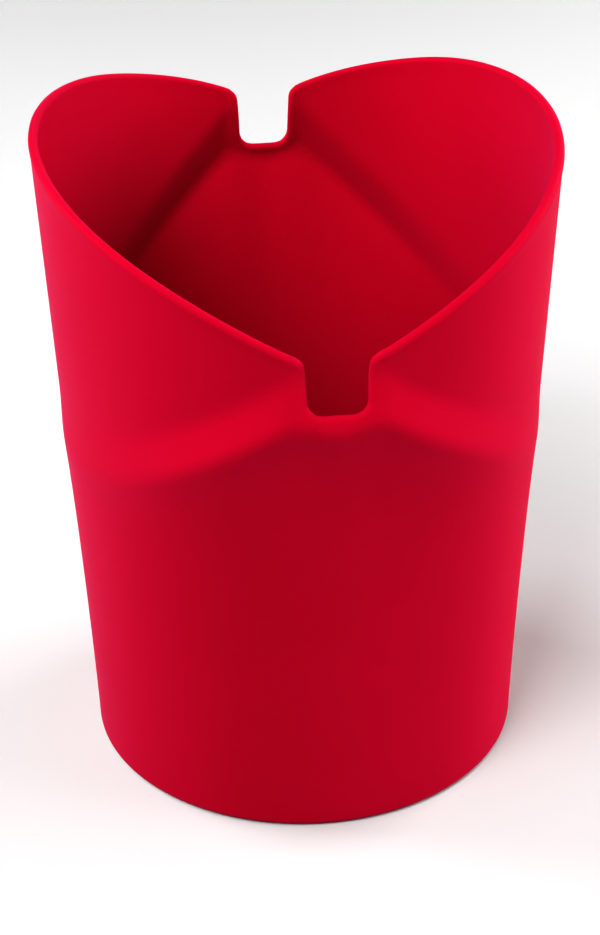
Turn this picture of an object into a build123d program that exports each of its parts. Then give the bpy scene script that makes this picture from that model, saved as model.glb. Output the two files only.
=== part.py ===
from build123d import *
import os

# A folding silicone popcorn popper: an oval cup whose two upper lobes fold inwards as a lid.
# Origin: centre of the base on the table. +X runs from the left flap to the right flap,
# +Y from the front vent slot to the back one, +Z up. All sizes are in millimetres.

# The cup: a circle-like oval at the table that opens into a longer oval at the mouth.
HEIGHT = 200.0
BASE_HALF_WIDTH = 66.6
BASE_HALF_DEPTH = 67.5
MOUTH_HALF_WIDTH = 75.2
MOUTH_HALF_DEPTH = 103.7
WALL = 2.5

# The base: a ring that stands on the table, with the floor a little above it.
RING_HEIGHT = 4.5
RING_WIDTH = 9.0
RING_EDGE_RADIUS = 2.0
FLOOR_RECESS = 1.5

# The crease: on each side the lobe bends on a flat plane that falls from the slot to the side.
CREASE_TOP = 158.6
CREASE_SLOPE = 0.695
SHOULDER_DROP = 12.2
SHOULDER_PROUD = 1.5

# The rim: an arc on each side when seen from the front, down to a steam slot in the middle.
# Each point is (distance from the middle, height).
RIM_LOW = (0.0, 167.6)
RIM_MIDDLE = (40.0, 186.7)
RIM_HIGH = (80.0, 201.5)
BEAD_DROP = 4.5
BEAD_PROUD = 0.4
SLOT_BOTTOM = 154.4
SLOT_HALF_WIDTH_LOW = 7.8
SLOT_HALF_WIDTH_HIGH = 9.5
SLOT_TOP = 220.0
SLOT_LOW_RADIUS = 4.5
SLOT_HIGH_RADIUS = 6.0
LIP_HALF_WIDTH = 13.0

# The stiff middle of each lobe. Beyond it the silicone has to bend when the lobe folds.
PANEL_HALF_DEPTH = 70.0
PANEL_LOW_EDGE = 113.0
PANEL_LOW_SLOPE = 1.5
PANEL_LOW_AT = 71.0

# The wall is drawn up to this height and then cut along the rim.
CONE_TOP = 210.0
# Cutting prisms reach this far past the cup.
REACH = 150.0

SIDES = {"left": -1, "right": 1}
ENDS = {"front": -1, "back": 1}


def oval_cone(proud):
    """Everything inside the cup's outer face, moved outwards by `proud`, up to CONE_TOP."""
    grown = CONE_TOP / HEIGHT
    top_half_width = BASE_HALF_WIDTH + grown * (MOUTH_HALF_WIDTH - BASE_HALF_WIDTH)
    top_half_depth = BASE_HALF_DEPTH + grown * (MOUTH_HALF_DEPTH - BASE_HALF_DEPTH)
    base = Ellipse(BASE_HALF_WIDTH + proud, BASE_HALF_DEPTH + proud)
    top = Ellipse(top_half_width + proud, top_half_depth + proud)
    return loft([base, Pos(0, 0, CONE_TOP) * top], ruled=True)


def shell(proud=0.0):
    """The oval wall, with its outer face moved outwards by `proud`."""
    return oval_cone(proud) - oval_cone(-WALL)


def prism(outline):
    """A profile of (x, z) points, seen from the front and run through the cup along Y."""
    face = make_face(Polyline([Vector(x, 0, z) for x, z in outline], close=True))
    return extrude(face, REACH, dir=(0, 1, 0), both=True)


def crease(x, drop=0.0):
    """The height of the crease at x, or of a line `drop` below it."""
    return CREASE_TOP - drop - CREASE_SLOPE * abs(x)


def panel_low_edge(x):
    """The height of the stiff panel's lower edge at x."""
    return PANEL_LOW_EDGE + PANEL_LOW_SLOPE * (PANEL_LOW_AT - abs(x))


def below_crease(drop=0.0):
    """Everything under the crease on both sides, or under a line `drop` below it."""
    return prism(
        [
            (-REACH, -REACH),
            (REACH, -REACH),
            (REACH, crease(REACH, drop)),
            (0, crease(0, drop)),
            (-REACH, crease(REACH, drop)),
        ]
    )


def above_rim(side, drop=0.0):
    """Everything on one side of the cup that is above the rim, or above a line `drop` below it."""
    low, middle, high = [
        Vector(side * x, 0, z - drop) for x, z in (RIM_LOW, RIM_MIDDLE, RIM_HIGH)
    ]
    outline = ThreePointArc(low, middle, high) + Polyline(
        high, Vector(high.X, 0, 2 * HEIGHT), Vector(0, 0, 2 * HEIGHT), low
    )
    return extrude(make_face(outline), REACH, dir=(0, 1, 0), both=True)


def above_line(height_at, side):
    """Everything on one side of the cup that is above the line height_at(x)."""
    return prism(
        [
            (0, height_at(0)),
            (side * REACH, height_at(REACH)),
            (side * REACH, 2 * HEIGHT),
            (0, 2 * HEIGHT),
        ]
    )


def mouth_cut():
    """The open space over the rim, with the steam slot at its lowest point."""
    slot = prism(
        [
            (-SLOT_HALF_WIDTH_HIGH, SLOT_TOP),
            (-SLOT_HALF_WIDTH_LOW, SLOT_BOTTOM),
            (SLOT_HALF_WIDTH_LOW, SLOT_BOTTOM),
            (SLOT_HALF_WIDTH_HIGH, SLOT_TOP),
        ]
    )
    cut = above_rim(SIDES["left"]) + above_rim(SIDES["right"]) + slot
    low = [e for e in cut.edges().filter_by(Axis.Y) if e.center().Z < SLOT_BOTTOM + 1]
    cut = fillet(low, SLOT_LOW_RADIUS)
    high = [
        e
        for e in cut.edges().filter_by(Axis.Y)
        if SLOT_BOTTOM + 10 < e.center().Z < SLOT_BOTTOM + 25
    ]
    return fillet(high, SLOT_HIGH_RADIUS)


def slab(low, high):
    """Everything between two heights."""
    return Pos(0, 0, (low + high) / 2) * Box(2 * REACH, 2 * REACH, high - low)


def make_foot_ring():
    ring = oval_cone(0) & slab(0, RING_HEIGHT)
    outer = ring.edges().group_by(Axis.Z)[0]
    ring = fillet(outer, RING_EDGE_RADIUS)
    hole = Ellipse(BASE_HALF_WIDTH - RING_WIDTH, BASE_HALF_DEPTH - RING_WIDTH)
    return ring - extrude(hole, RING_HEIGHT)


def make_cup_floor():
    disc = Ellipse(BASE_HALF_WIDTH - RING_WIDTH, BASE_HALF_DEPTH - RING_WIDTH)
    return Pos(0, 0, FLOOR_RECESS) * extrude(disc, RING_HEIGHT - FLOOR_RECESS)


def make_cup_wall():
    return shell() & slab(RING_HEIGHT, HEIGHT) & below_crease(SHOULDER_DROP)


def crease_band(mouth):
    """The raised band under the crease, all the way round."""
    return (shell(SHOULDER_PROUD) & below_crease()) - below_crease(SHOULDER_DROP) - mouth


def make_crease_shoulder(mouth, side):
    middle = side * (LIP_HALF_WIDTH + REACH)
    beside_lip = Pos(middle, 0, 0) * Box(2 * REACH, 2 * REACH, 4 * HEIGHT)
    return crease_band(mouth) & beside_lip


def make_slot_lip(mouth, end):
    block = Pos(0, end * REACH / 2, HEIGHT / 2) * Box(2 * LIP_HALF_WIDTH, REACH, HEIGHT)
    return crease_band(mouth) & block


def make_lobe(mouth, side):
    """One whole lobe, from its crease to the bead along its rim."""
    wall = shell() & above_line(crease, side)
    bead = shell(BEAD_PROUD) & above_rim(side, BEAD_DROP)
    return wall + bead - mouth


def split_lobe(lobe, side):
    """The pieces of one lobe, by name, without the side's own name."""
    panel_box = Box(4 * REACH, 2 * PANEL_HALF_DEPTH, 4 * HEIGHT)
    middle = lobe & panel_box
    over_web = middle & above_line(panel_low_edge, side)
    bead_zone = above_rim(side, BEAD_DROP)
    pieces = {
        "crease_web": middle - above_line(panel_low_edge, side),
        "flap_panel": over_web - bead_zone,
        "flap_bead": over_web & bead_zone,
    }
    for name, end in ENDS.items():
        far = Pos(0, end * (PANEL_HALF_DEPTH + REACH), 0) * Box(4 * REACH, 2 * REACH, 4 * HEIGHT)
        pieces[f"{name}_gusset"] = lobe & far
    return pieces


def main():
    mouth = mouth_cut()
    parts = {
        "foot_ring": make_foot_ring(),
        "cup_floor": make_cup_floor(),
        "cup_wall": make_cup_wall(),
    }
    for name, end in ENDS.items():
        parts[f"{name}_slot_lip"] = make_slot_lip(mouth, end)
    for name, side in SIDES.items():
        parts[f"{name}_crease_shoulder"] = make_crease_shoulder(mouth, side)
        for piece, solid in split_lobe(make_lobe(mouth, side), side).items():
            parts[f"{name}_{piece}"] = solid
    os.makedirs("parts", exist_ok=True)
    for name, part in parts.items():
        export_step(part, f"parts/{name}.step")


main()
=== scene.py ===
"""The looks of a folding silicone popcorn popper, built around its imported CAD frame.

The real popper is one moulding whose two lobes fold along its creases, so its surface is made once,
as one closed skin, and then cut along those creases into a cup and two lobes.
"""

import math

import bpy
import numpy as np
from mathutils import Matrix, Vector


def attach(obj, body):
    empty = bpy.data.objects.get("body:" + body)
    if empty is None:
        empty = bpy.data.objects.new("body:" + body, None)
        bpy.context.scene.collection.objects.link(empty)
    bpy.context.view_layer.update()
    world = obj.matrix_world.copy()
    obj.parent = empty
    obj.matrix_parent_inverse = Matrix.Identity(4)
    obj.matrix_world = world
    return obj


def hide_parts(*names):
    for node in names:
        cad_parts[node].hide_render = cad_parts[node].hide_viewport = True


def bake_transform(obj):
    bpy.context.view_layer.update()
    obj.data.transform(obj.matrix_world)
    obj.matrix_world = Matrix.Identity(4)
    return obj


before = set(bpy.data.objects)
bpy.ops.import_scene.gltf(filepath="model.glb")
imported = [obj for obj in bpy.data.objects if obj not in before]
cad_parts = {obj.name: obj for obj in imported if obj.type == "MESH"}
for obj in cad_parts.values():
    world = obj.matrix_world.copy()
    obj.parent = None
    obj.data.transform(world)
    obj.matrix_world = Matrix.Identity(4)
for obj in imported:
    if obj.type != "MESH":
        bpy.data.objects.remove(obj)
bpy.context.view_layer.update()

MM = 0.001

# The oval cup, in millimetres, as in the CAD: half sizes at the table and their growth with height.
BASE_HALF_WIDTH = 66.6
BASE_HALF_DEPTH = 67.5
WIDTH_GROWTH = 0.0445
DEPTH_GROWTH = 0.181
WALL = 2.5

# The base: rounded outer edge, ring that stands on the table, recessed underside, rounded inner corner.
EDGE_RADIUS = 2.0
RING_INSET = 9.0
RECESS = 1.5
FLOOR_TOP = 4.5
CORNER_RADIUS = 6.0

# The crease plane under each lobe: its height in the middle and its fall towards the side.
CREASE_TOP = 158.6
CREASE_SLOPE = 0.695

# The ridge along the crease: its height beside the slot, how far its level part reaches to each side,
# how gently that part bends down, its fall from there, and how it dips under the slot.
RIDGE_TOP = 156.5
RIDGE_FLAT = 8.7
RIDGE_ROUND = 5.0
RIDGE_SLOPE = 0.79
RIDGE_COS = 1 / math.hypot(1, RIDGE_SLOPE)
RIDGE_DIP = 4.5
RIDGE_DIP_SPREAD = 14.0

# The wall's extra outward lean, as rise over run, at these distances over the ridge: it flares to
# the ridge, steps in over it, and leans back out above.
LEAN_AT = (-52.0, -30.0, -12.0, -3.0, 2.0, 8.0, 13.0, 40.0)
LEAN = (0.0, 0.09, 0.24, 0.43, -0.47, -0.47, 0.0, 0.0)
WAIST = 2.9
SIDE_SHARE = 0.12
SHARE_FROM = 0.15

# The rim seen from the front, as height over distance from the middle: low point, slope, bend.
RIM_LOW = 167.6
RIM_SLOPE = 0.53
RIM_BEND = -0.00133

# The V of the rim is a little deeper at the front and shallower at the back.
FRONT_V_LIFT = -0.6
BACK_V_LIFT = 3.2
V_SPREAD = 50.0
V_REACH = 18.0

# The steam slot: its bottom, its half width there, how it widens upwards, and its corner radii.
SLOT_BOTTOM = 156.0
SLOT_HALF_WIDTH = 7.8
SLOT_SPREAD = 0.06
SLOT_RADIUS = 4.5
SHOULDER_RADIUS = 4.8

# The free edge is rounded over this half thickness, and thickens over its last few millimetres.
LIP = 1.5
BEAD_REACH = 5.0
BEAD_OUT = 0.3
BEAD_IN = 0.2

# Towards the slot the outer face rounds inwards, over this far and by this much.
SLOT_ROUND = 1.4
SLOT_ROUND_REACH = 6.0

# Mesh counts, and how the rows crowd: those of the cup towards its top, those of a lobe to its crease.
SLOT_COLUMNS = 8
LOBE_COLUMNS = 168
CUP_ROWS = 64
CUP_CROWDING = 1.3
LOBE_ROWS = 48
LOBE_CROWDING = 1.15
ROUND_ROWS = 7
LIP_ROWS = 7
BASE_SHARES = (0.8, 0.6, 0.4, 0.2)

# Over this many columns beside each slot, the lobe's columns spread out from the slot's upright side.
SPREAD_COLUMNS = 40

# How finely the outlines are worked out, and how often a height that is searched for is improved.
PROFILE_STEPS = 401
CORNER_STEPS = 2000
SHOULDER_STEPS = 60
SHOULDER_TRIES = 20
TOP_TRIES = 40

# The sheet's top edge is somewhere between these heights.
LOWEST_TOP = 150.0
HIGHEST_TOP = 210.0

# The shortest normal that is still scaled to length 1.
TINY = 1e-12


def smooth(t):
    """Goes from 0 to 1 as t does, level at both ends."""
    t = np.clip(t, 0, 1)
    return t * t * (3 - 2 * t)


def half_width(z):
    return BASE_HALF_WIDTH + WIDTH_GROWTH * z


def half_depth(z):
    return BASE_HALF_DEPTH + DEPTH_GROWTH * z


def crease_height(turn):
    """The height of the crease where the wall faces `turn`, an angle from the front."""
    side = np.abs(np.sin(turn))
    top = CREASE_TOP - CREASE_SLOPE * BASE_HALF_WIDTH * side
    return top / (1 + CREASE_SLOPE * WIDTH_GROWTH * side)


def rim_height(x):
    return RIM_LOW + RIM_SLOPE * np.abs(x) + RIM_BEND * x * x


def slot_distance(x, z):
    """The distance of a wall point from the slot's edge, 0 inside the slot."""
    width = SLOT_HALF_WIDTH + SLOT_SPREAD * (z - SLOT_BOTTOM)
    across = np.abs(x) - (width - SLOT_RADIUS)
    down = SLOT_BOTTOM + SLOT_RADIUS - z
    outside = np.hypot(np.maximum(across, 0), np.maximum(down, 0))
    inside = np.minimum(np.maximum(across, down), 0)
    return np.maximum(outside + inside - SLOT_RADIUS, 0)


def edge_distance(turn, z):
    """The distance of a wall point from the nearest free edge, along the wall."""
    x = half_width(z) * np.sin(turn)
    return np.minimum(slot_distance(x, z), np.maximum(rim_height(x) - z, 0))


def lean_profile():
    """How far the wall stands out at each distance over the ridge, as two matching lists."""
    over = np.linspace(LEAN_AT[0], LEAN_AT[-1], PROFILE_STEPS)
    lean = np.interp(over, LEAN_AT, LEAN)
    steps = (lean[1:] + lean[:-1]) / 2 * np.diff(over)
    return over, np.concatenate([[0], np.cumsum(steps)])


LEAN_PROFILE = lean_profile()


def ridge_height(x):
    """The height of the ridge at a distance from the middle: a dip, a level part, a straight fall."""
    past = x - RIDGE_FLAT
    bend = np.clip(past + RIDGE_ROUND, 0, 2 * RIDGE_ROUND) ** 2 / (4 * RIDGE_ROUND)
    dip = RIDGE_DIP * (1 - smooth(x / RIDGE_DIP_SPREAD))
    return RIDGE_TOP - dip - RIDGE_SLOPE * (bend + np.maximum(past - RIDGE_ROUND, 0))


def relief(turn, z):
    """How far the outer face stands out from the plain oval cone."""
    side = np.abs(np.sin(turn))
    x = half_width(z) * side
    ridge = ridge_height(x)
    over = (z - ridge) * RIDGE_COS
    to_waist = np.clip(z / (ridge + LEAN_AT[0] / RIDGE_COS), 0, 1)
    out = np.interp(over, *LEAN_PROFILE) - WAIST * to_waist * (2 - to_waist)
    share = 1 - (1 - SIDE_SHARE) * smooth((side - SHARE_FROM) / (1 - SHARE_FROM))
    return out * share - SLOT_ROUND * np.clip(1 - slot_distance(x, z) / SLOT_ROUND_REACH, 0, 1) ** 2


def wall_points(turn, z, inner):
    """Points of the outer or inner face, as an array of x, y, z rows."""
    bead = smooth(1 - edge_distance(turn, z) / BEAD_REACH)
    out = relief(turn, z)
    if inner:
        out = out - WALL - BEAD_IN * bead
    else:
        out = out + BEAD_OUT * bead
    x = (half_width(z) + out) * np.sin(turn)
    y = -(half_depth(z) + out) * np.cos(turn)
    to_front = np.cos(turn)
    lift = FRONT_V_LIFT * np.maximum(to_front, 0) + BACK_V_LIFT * np.maximum(-to_front, 0)
    near_slot = 1 - smooth(np.abs(x) / V_SPREAD)
    over_crease = smooth((z - crease_height(turn)) / V_REACH)
    return np.stack([x, y, z + lift * near_slot * over_crease], -1)


def slot_outline():
    """The edge of the flat sheet beside the slot, from the crease to the middle of the shoulder, and
    from there on to the rim: two lists of (x, z) points, inset by the lip's radius."""
    radius = SLOT_RADIUS + LIP
    centre_x = SLOT_HALF_WIDTH - SLOT_RADIUS
    centre_z = SLOT_BOTTOM + SLOT_RADIUS
    turned = np.radians(np.linspace(0, 90, CORNER_STEPS))
    arc_x = centre_x + radius * np.sin(turned)
    arc_z = centre_z - radius * np.cos(turned)
    first = int(np.argmax(arc_z > CREASE_TOP - CREASE_SLOPE * arc_x))
    bottom = (arc_x[: first + 1], arc_z[: first + 1])

    shoulder = SHOULDER_RADIUS - LIP
    x = SLOT_HALF_WIDTH + LIP + shoulder
    z = SLOT_BOTTOM
    for _ in range(SHOULDER_TRIES):
        lean = math.atan(RIM_SLOPE + 2 * RIM_BEND * x)
        z = rim_height(x) - SHOULDER_RADIUS / math.cos(lean)
        x = SLOT_HALF_WIDTH + SLOT_SPREAD * (z - SLOT_BOTTOM) + SHOULDER_RADIUS
    angles = np.linspace(math.pi, math.pi / 2 + lean, SHOULDER_STEPS)
    round_x = x + shoulder * np.cos(angles)
    round_z = z + shoulder * np.sin(angles)
    half = len(angles) // 2
    side_x = np.concatenate([arc_x[first:], round_x[: half + 1]])
    side_z = np.concatenate([arc_z[first:], round_z[: half + 1]])
    return bottom, (side_x, side_z), (round_x[half:], round_z[half:])


def evenly(x, z, share):
    """Points at the given shares of a line's length."""
    length = np.concatenate([[0], np.cumsum(np.hypot(np.diff(x), np.diff(z)))])
    along = share * length[-1]
    return np.interp(along, length, x), np.interp(along, length, z)


def facing(x, z):
    """The angle from the front of the wall point at x and z, on the front half."""
    return np.arcsin(x / half_width(z))


BOTTOM_LINE, SIDE_LINE, SHOULDER_LINE = slot_outline()


def sheet_top(turn):
    """The height of the sheet's top edge where the wall faces `turn`, from one shoulder to the other."""
    near = np.minimum(turn, math.pi - turn)
    low, high = np.full_like(near, LOWEST_TOP), np.full_like(near, HIGHEST_TOP)
    for _ in range(TOP_TRIES):
        z = (low + high) / 2
        x = half_width(z) * np.sin(near)
        lean = RIM_SLOPE + 2 * RIM_BEND * x
        top = rim_height(x) - LIP * np.sqrt(1 + lean * lean)
        on_shoulder = x < SHOULDER_LINE[0][-1]
        top = np.where(on_shoulder, np.interp(x, *SHOULDER_LINE), top)
        low, high = np.where(z < top, z, low), np.where(z < top, high, z)
    return (low + high) / 2


def lobe_grid():
    """The angles and heights of the right lobe's sheet, rows from its crease to its rim."""
    share = np.linspace(0, 1, LOBE_ROWS + 1) ** LOBE_CROWDING
    side_x, side_z = evenly(*SIDE_LINE, share)
    side_turn = facing(side_x, side_z)
    first = side_turn[0]
    turn = np.linspace(first, math.pi - first, LOBE_COLUMNS + 1)[None, :]
    turn = np.repeat(turn, LOBE_ROWS + 1, 0)
    column = np.arange(LOBE_COLUMNS + 1)[None, :]
    near = 1 - smooth(column / SPREAD_COLUMNS)
    far = near[:, ::-1]
    turn = turn + (side_turn - first)[:, None] * (near - far)

    def straight(angle, part):
        low = crease_height(angle)
        return low + part * (sheet_top(angle) - low)

    miss = side_z - straight(side_turn, share)
    z = straight(turn, share[:, None]) + miss[:, None] * (near + far)
    return turn, z


def ring_turns(lobe_turns):
    """The angles of every column round the cup, starting at the front slot's left corner."""
    corner = lobe_turns[0]
    slot = np.linspace(-corner, corner, SLOT_COLUMNS + 1)[:-1]
    right = lobe_turns[:-1]
    return np.concatenate([slot, right, slot + math.pi, right + math.pi])


def ring_tops(turns, columns):
    """The height at which the cup's sheet ends in each column: the slot's bottom or the crease."""
    tops = crease_height(turns)
    x = np.abs(half_width(SLOT_BOTTOM) * np.sin(turns))
    return np.where(columns, np.interp(x, *BOTTOM_LINE), tops)


def rounded(radius, count):
    """A quarter circle's inset and height, from its upright end to its level one."""
    angle = np.linspace(0, math.pi / 2, count)
    return radius * (1 - np.cos(angle)), radius * (1 - np.sin(angle))


class Skin:
    """Vertices and faces of the whole moulding. Each face is marked with the piece that it goes to."""

    def __init__(self):
        self.points = []
        self.faces = []
        self.marks = []
        self.count = 0

    def add(self, points):
        """Adds an array of points and returns their numbers in the same shape."""
        shape = points.shape[:-1]
        number = self.count + np.arange(int(np.prod(shape))).reshape(shape)
        self.points.append(points.reshape(-1, 3))
        self.count += number.size
        return number

    def quads(self, a, b, c, d, mark, flip):
        corners = np.stack([a, b, c, d], -1).reshape(-1, 4)
        if flip:
            corners = corners[:, ::-1]
        self.faces.extend(corners.tolist())
        self.marks.extend([mark] * len(corners))

    def grid(self, number, mark, flip):
        """Faces of a grid of points whose rows go up and whose columns go round from front to right."""
        self.quads(number[:-1, :-1], number[:-1, 1:], number[1:, 1:], number[1:, :-1], mark, flip)

    def fan(self, ring, centre, mark, flip):
        """Triangles from a closed ring to one point."""
        after = np.roll(ring, -1)
        for a, b in zip(ring.tolist(), after.tolist()):
            self.faces.append([b, a, centre] if flip else [a, b, centre])
            self.marks.append(mark)


def closed(number):
    """A grid of point numbers with its first column repeated at the end."""
    return np.concatenate([number, number[:, :1]], 1)


def base_rows(turns, inner):
    """The rows of the base, from its middle out to the foot of the wall."""
    if inner:
        inset, rise = rounded(CORNER_RADIUS, ROUND_ROWS)
        profile = [(-WALL - i, FLOOR_TOP + r) for i, r in zip(inset, rise)]
    else:
        inset, rise = rounded(EDGE_RADIUS, ROUND_ROWS)
        profile = [(-i, r) for i, r in zip(inset, rise)]
        step, lift = rounded(RECESS, ROUND_ROWS)
        profile += [(-RING_INSET - s, RECESS - l) for s, l in zip(step[::-1], lift[::-1])]
    rows = []
    for out, z in profile:
        x = (half_width(z) + out) * np.sin(turns)
        y = -(half_depth(z) + out) * np.cos(turns)
        rows.append(np.stack([x, y, np.full_like(x, z)], -1))
    last = rows[-1]
    for share in BASE_SHARES:
        rows.append(last * [share, share, 1])
    return np.array(rows[::-1])


def make_sheet(skin, inner):
    """Adds the outer or the inner face. Returns the points of its free edge and of its creases."""
    lobe_turn, lobe_z = lobe_grid()
    turns = ring_turns(lobe_turn[0])
    in_slot = np.zeros(len(turns), bool)
    half = len(turns) // 2
    in_slot[:SLOT_COLUMNS] = True
    in_slot[half : half + SLOT_COLUMNS] = True
    tops = ring_tops(turns, in_slot)

    base = base_rows(turns, inner)
    foot = base[-1, 0, 2]
    share = 1 - (1 - np.linspace(0, 1, CUP_ROWS + 1)[1:, None]) ** CUP_CROWDING
    heights = foot + share * (tops - foot)[None, :]
    wall = wall_points(np.repeat(turns[None, :], CUP_ROWS, 0), heights, inner)
    cup = skin.add(np.concatenate([base, wall]))
    skin.grid(closed(cup), "cup", flip=inner)
    middle = base[0].mean(0)
    centre = skin.add(middle[None, :])[0]
    skin.fan(cup[0], int(centre), "cup", flip=not inner)

    edge, creases = [], {}
    for mark, start, offset in (("right_lobe", 0, 0.0), ("left_lobe", half, math.pi)):
        slot = cup[-1, start : start + SLOT_COLUMNS]
        seam = np.take(cup[-1], np.arange(start + SLOT_COLUMNS, start + half + 1), mode="wrap")
        rows = skin.add(wall_points(lobe_turn[1:] + offset, lobe_z[1:], inner))
        lobe = np.concatenate([seam[None, :], rows])
        skin.grid(lobe, mark, flip=inner)
        creases[mark] = seam
        edge += [(n, "cup") for n in slot]
        edge += [(n, mark) for n in lobe[:-1, 0]]
        edge += [(n, mark) for n in lobe[-1, :-1]]
        edge += [(n, mark) for n in lobe[:0:-1, -1]]
    return edge, creases


def add_lip(skin, outer_edge, inner_edge):
    """Rounds the free edge over from the outer face to the inner one."""
    points = np.concatenate(skin.points)
    outer = points[[n for n, _ in outer_edge]]
    inner = points[[n for n, _ in inner_edge]]
    middle = (outer + inner) / 2
    reach = (outer - inner) / 2
    along = np.roll(middle, -1, 0) - np.roll(middle, 1, 0)
    away = np.cross(reach, along)
    away /= np.linalg.norm(away, axis=1)[:, None]
    size = np.linalg.norm(reach, axis=1)[:, None]
    rings = [np.array([n for n, _ in outer_edge])]
    for step in range(1, LIP_ROWS):
        angle = math.pi * step / LIP_ROWS
        rings.append(skin.add(middle + reach * math.cos(angle) + away * size * math.sin(angle)))
    rings.append(np.array([n for n, _ in inner_edge]))
    marks = [mark for _, mark in outer_edge]
    for low, high in zip(rings[:-1], rings[1:]):
        low_next, high_next = np.roll(low, -1), np.roll(high, -1)
        for k, mark in enumerate(marks):
            skin.faces.append([int(low[k]), int(low_next[k]), int(high_next[k]), int(high[k])])
            skin.marks.append(mark)
    return rings


def vertex_normals(points, faces):
    """The normal at each point, from the faces round it."""
    quads = np.array([f if len(f) == 4 else [*f, f[0]] for f in faces])
    a, b, c, d = (points[quads[:, k]] for k in range(4))
    face_normal = np.cross(c - a, d - b)
    normal = np.zeros_like(points)
    for k in range(4):
        np.add.at(normal, quads[:, k], face_normal)
    length = np.linalg.norm(normal, axis=1)[:, None]
    return normal / np.maximum(length, TINY)


def cap_faces(outer, inner, rings, corners):
    """Faces that close a lobe's cut along its crease, seen from the cup's side."""
    faces = [
        [int(outer[k]), int(inner[k]), int(inner[k + 1]), int(outer[k + 1])]
        for k in range(len(outer) - 1)
    ]
    first, last = ([int(ring[corner]) for ring in rings] for corner in corners)
    return faces + [first, last[::-1]]


def make_piece(name, faces, caps, points, normals, material):
    """One visible piece: its share of the skin, closed by its caps, with the whole skin's normals."""
    used, where = np.unique(np.concatenate([np.ravel(f) for f in faces + caps]), return_inverse=True)
    sizes = [len(f) for f in faces + caps]
    local = np.split(where, np.cumsum(sizes)[:-1])
    mesh = bpy.data.meshes.new(name)
    mesh.from_pydata((points[used] * MM).tolist(), [], [f.tolist() for f in local])
    mesh.polygons.foreach_set("use_smooth", [True] * len(faces) + [False] * len(caps))
    split = [normals[v].tolist() for f in faces for v in f]
    for cap in caps:
        a, b, c = points[cap[0]], points[cap[1]], points[cap[2]]
        flat = np.cross(b - a, c - a)
        flat /= max(np.linalg.norm(flat), TINY)
        split += [flat.tolist()] * len(cap)
    mesh.normals_split_custom_set(split)
    mesh.materials.append(material)
    piece = bpy.data.objects.new(name, mesh)
    bpy.context.scene.collection.objects.link(piece)
    return piece


def make_popper(material):
    """The cup and its two lobes, by name."""
    skin = Skin()
    outer_edge, outer_creases = make_sheet(skin, inner=False)
    inner_edge, inner_creases = make_sheet(skin, inner=True)
    rings = add_lip(skin, outer_edge, inner_edge)
    points = np.concatenate(skin.points)
    normals = vertex_normals(points, skin.faces)
    position = {n: k for k, (n, _) in enumerate(outer_edge)}
    pieces, cup_caps = {}, []
    for mark, seam in outer_creases.items():
        corners = position[int(seam[0])], position[int(seam[-1])]
        caps = cap_faces(seam, inner_creases[mark], rings, corners)
        cup_caps += [cap[::-1] for cap in caps]
        faces = [f for f, m in zip(skin.faces, skin.marks) if m == mark]
        pieces[mark] = make_piece(mark, faces, caps, points, normals, material)
    faces = [f for f, m in zip(skin.faces, skin.marks) if m == "cup"]
    pieces["cup"] = make_piece("cup_skin", faces, cup_caps, points, normals, material)
    return pieces


# Materials.

WHITE = (1, 1, 1, 1)
SILICONE_RED = (0.349, 0.0013, 0.0225, 1)
SILICONE_DEEP = (0.327, 0.001, 0.0195, 1)

# The noise behind the silicone's tone, gloss and grain: its scale and its detail.
TONE_NOISE = (14, 3)
GLOSS_NOISE = (55, 4)
GRAIN_NOISE = (1800, 2)

# The noise varies the tone and the gloss between these two of its values.
NOISE_LOW = 0.3
NOISE_HIGH = 0.7

# The silicone's gloss, its grain's strength and depth in metres, and its soft pink sheen.
ROUGHNESS_LOW = 0.44
ROUGHNESS_HIGH = 0.52
GRAIN_STRENGTH = 0.12
GRAIN_DEPTH = 0.0002
SILICONE_IOR = 1.43
SPECULAR = 0.006
SHEEN = 0.09
SHEEN_ROUGHNESS = 0.45
SHEEN_TINT = (1.0, 0.18, 0.58, 1)


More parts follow.
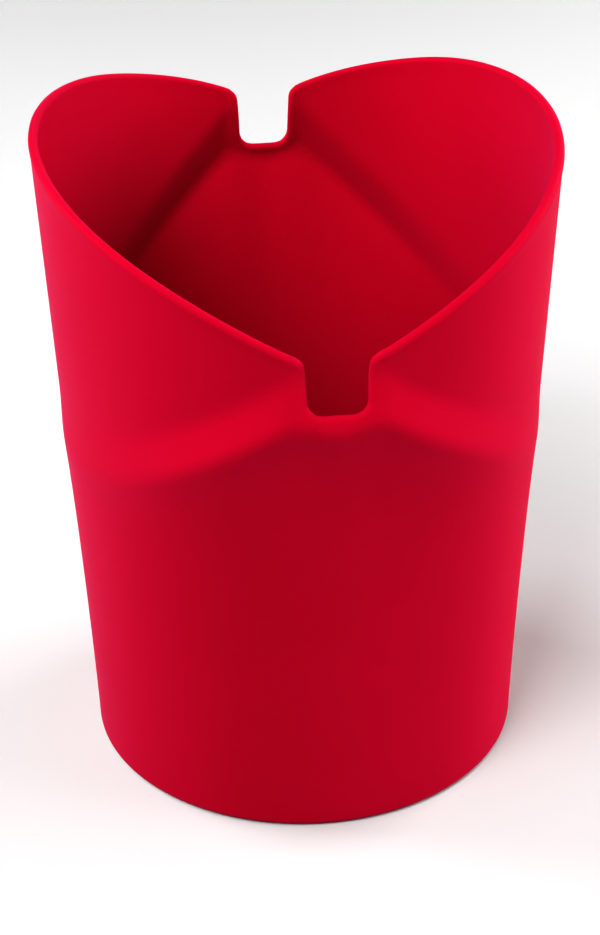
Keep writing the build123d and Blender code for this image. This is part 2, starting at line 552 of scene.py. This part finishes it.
def silicone():
    """Deep red moulded silicone: satin, faintly uneven in tone and gloss, with a fine matt grain."""
    material = bpy.data.materials.new("red_silicone_satin")
    material.use_nodes = True
    nodes, links = material.node_tree.nodes, material.node_tree.links
    shader = nodes["Principled BSDF"]
    place = nodes.new("ShaderNodeTexCoord")

    def noise(scale, detail):
        node = nodes.new("ShaderNodeTexNoise")
        node.inputs["Scale"].default_value = scale
        node.inputs["Detail"].default_value = detail
        links.new(place.outputs["Object"], node.inputs["Vector"])
        return node.outputs["Fac"]

    tone = nodes.new("ShaderNodeValToRGB")
    tone.color_ramp.elements[0].position = NOISE_LOW
    tone.color_ramp.elements[0].color = SILICONE_DEEP
    tone.color_ramp.elements[1].position = NOISE_HIGH
    tone.color_ramp.elements[1].color = SILICONE_RED
    links.new(noise(*TONE_NOISE), tone.inputs["Fac"])
    links.new(tone.outputs["Color"], shader.inputs["Base Color"])

    gloss = nodes.new("ShaderNodeMapRange")
    gloss.inputs["From Min"].default_value = NOISE_LOW
    gloss.inputs["From Max"].default_value = NOISE_HIGH
    gloss.inputs["To Min"].default_value = ROUGHNESS_LOW
    gloss.inputs["To Max"].default_value = ROUGHNESS_HIGH
    links.new(noise(*GLOSS_NOISE), gloss.inputs["Value"])
    links.new(gloss.outputs["Result"], shader.inputs["Roughness"])

    grain = nodes.new("ShaderNodeBump")
    grain.inputs["Strength"].default_value = GRAIN_STRENGTH
    grain.inputs["Distance"].default_value = GRAIN_DEPTH
    links.new(noise(*GRAIN_NOISE), grain.inputs["Height"])
    links.new(grain.outputs["Normal"], shader.inputs["Normal"])

    shader.inputs["IOR"].default_value = SILICONE_IOR
    shader.inputs["Specular IOR Level"].default_value = SPECULAR
    shader.inputs["Sheen Weight"].default_value = SHEEN
    shader.inputs["Sheen Roughness"].default_value = SHEEN_ROUGHNESS
    shader.inputs["Sheen Tint"].default_value = SHEEN_TINT
    return material


# The floor, and its glow with the distances in metres from the middle where that begins and is full.
FLOOR_GREY = (0.42, 0.42, 0.42, 1)
FLOOR_ROUGHNESS = 0.8
FLOOR_GLOW = 0.6
GLOW_FROM = 0.7
GLOW_FULL = 1.8


def floor_material():
    """Plain pale floor. Further out, where the softboxes do not reach, it glows to stay pale."""
    material = bpy.data.materials.new("pale_floor")
    material.use_nodes = True
    nodes, links = material.node_tree.nodes, material.node_tree.links
    shader = nodes["Principled BSDF"]
    shader.inputs["Base Color"].default_value = FLOOR_GREY
    shader.inputs["Roughness"].default_value = FLOOR_ROUGHNESS
    shader.inputs["Emission Color"].default_value = WHITE

    place = nodes.new("ShaderNodeTexCoord")
    distance = nodes.new("ShaderNodeVectorMath")
    distance.operation = "LENGTH"
    links.new(place.outputs["Object"], distance.inputs[0])
    glow = nodes.new("ShaderNodeMapRange")
    glow.interpolation_type = "SMOOTHSTEP"
    glow.inputs["From Min"].default_value = GLOW_FROM
    glow.inputs["From Max"].default_value = GLOW_FULL
    glow.inputs["To Max"].default_value = FLOOR_GLOW
    links.new(distance.outputs["Value"], glow.inputs["Value"])
    links.new(glow.outputs["Result"], shader.inputs["Emission Strength"])
    return material


# The set: floor, light and camera. Places are in metres. The camera's right and up are unit vectors.

CAMERA_PLACE = (-0.06423, -0.61155, 0.43139)
CAMERA_RIGHT = (0.99342, -0.11343, -0.01612)
CAMERA_UP = (0.06947, 0.48442, 0.87207)
LENS = 87.6
FLOOR_SIZE = 12.0


def make_floor():
    bpy.ops.mesh.primitive_plane_add(size=FLOOR_SIZE)
    floor = bpy.context.object
    floor.name = "floor"
    floor.data.materials.append(floor_material())


def add_softbox(name, place, size, power):
    data = bpy.data.lights.new(name, "AREA")
    data.shape = "RECTANGLE"
    data.size, data.size_y = size
    data.energy = power
    light = bpy.data.objects.new(name, data)
    light.location = place
    direction = Vector(SOFTBOX_AIM) - Vector(place)
    light.rotation_euler = direction.to_track_quat("-Z", "Y").to_euler()
    bpy.context.scene.collection.objects.link(light)


# All softboxes face this place. Each has a place, a size, and a power in watts.
SOFTBOX_AIM = (0, 0, 0.1)
SOFTBOXES = {
    "top_softbox": ((-0.40, -0.55, 1.46), (0.6, 0.6), 8.1),
    "key_softbox": ((-0.6, -0.9, 1.2), (0.7, 0.7), 19.8),
    "right_softbox": ((1.2, -0.3, 0.40), (0.8, 0.7), 9.5),
    "right_front_softbox": ((1.1, -0.6, 0.75), (0.7, 0.7), 3.7),
    "left_back_softbox": ((-1.1, 0.5, 0.6), (0.8, 0.8), 11.7),
    "left_high_softbox": ((-0.9, 0.4, 1.1), (0.8, 0.8), 7.1),
    "right_back_softbox": ((1.1, 0.5, 0.6), (0.8, 0.8), 16.1),
}
AMBIENT = 0.01


def light_set():
    world = bpy.data.worlds.new("studio")
    bpy.context.scene.world = world
    world.use_nodes = True
    background = world.node_tree.nodes["Background"]
    background.inputs["Color"].default_value = WHITE
    background.inputs["Strength"].default_value = AMBIENT
    for name, (place, size, power) in SOFTBOXES.items():
        add_softbox(name, place, size, power)


def make_camera():
    right, up = Vector(CAMERA_RIGHT), Vector(CAMERA_UP)
    back = right.cross(up)
    data = bpy.data.cameras.new("camera")
    data.lens = LENS
    camera = bpy.data.objects.new("camera", data)
    turn = Matrix((right, up, back)).transposed().to_4x4()
    camera.matrix_world = Matrix.Translation(CAMERA_PLACE) @ turn
    bpy.context.scene.collection.objects.link(camera)
    bpy.context.scene.camera = camera


def join_to_frame(pieces):
    """Puts the cup on its body, bakes each lobe's placement into its mesh, and hides the CAD parts that
    the skin stands for. The lobes are not put on the flaps.
    """
    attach(pieces["cup"], "cup")
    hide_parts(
        "foot_ring",
        "cup_floor",
        "cup_wall",
        "left_crease_shoulder",
        "right_crease_shoulder",
        "front_slot_lip",
        "back_slot_lip",
    )
    for side, sign in (("left", -1), ("right", 1)):
        lobe = pieces[f"{side}_lobe"]
        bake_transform(lobe)
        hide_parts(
            f"{side}_flap_panel",
            f"{side}_flap_bead",
            f"{side}_crease_web",
            f"{side}_front_gusset",
            f"{side}_back_gusset",
        )


join_to_frame(make_popper(silicone()))
make_floor()
light_set()
make_camera()
bpy.context.scene.view_settings.view_transform = "Standard"
bpy.context.scene.view_settings.look = "High Contrast"
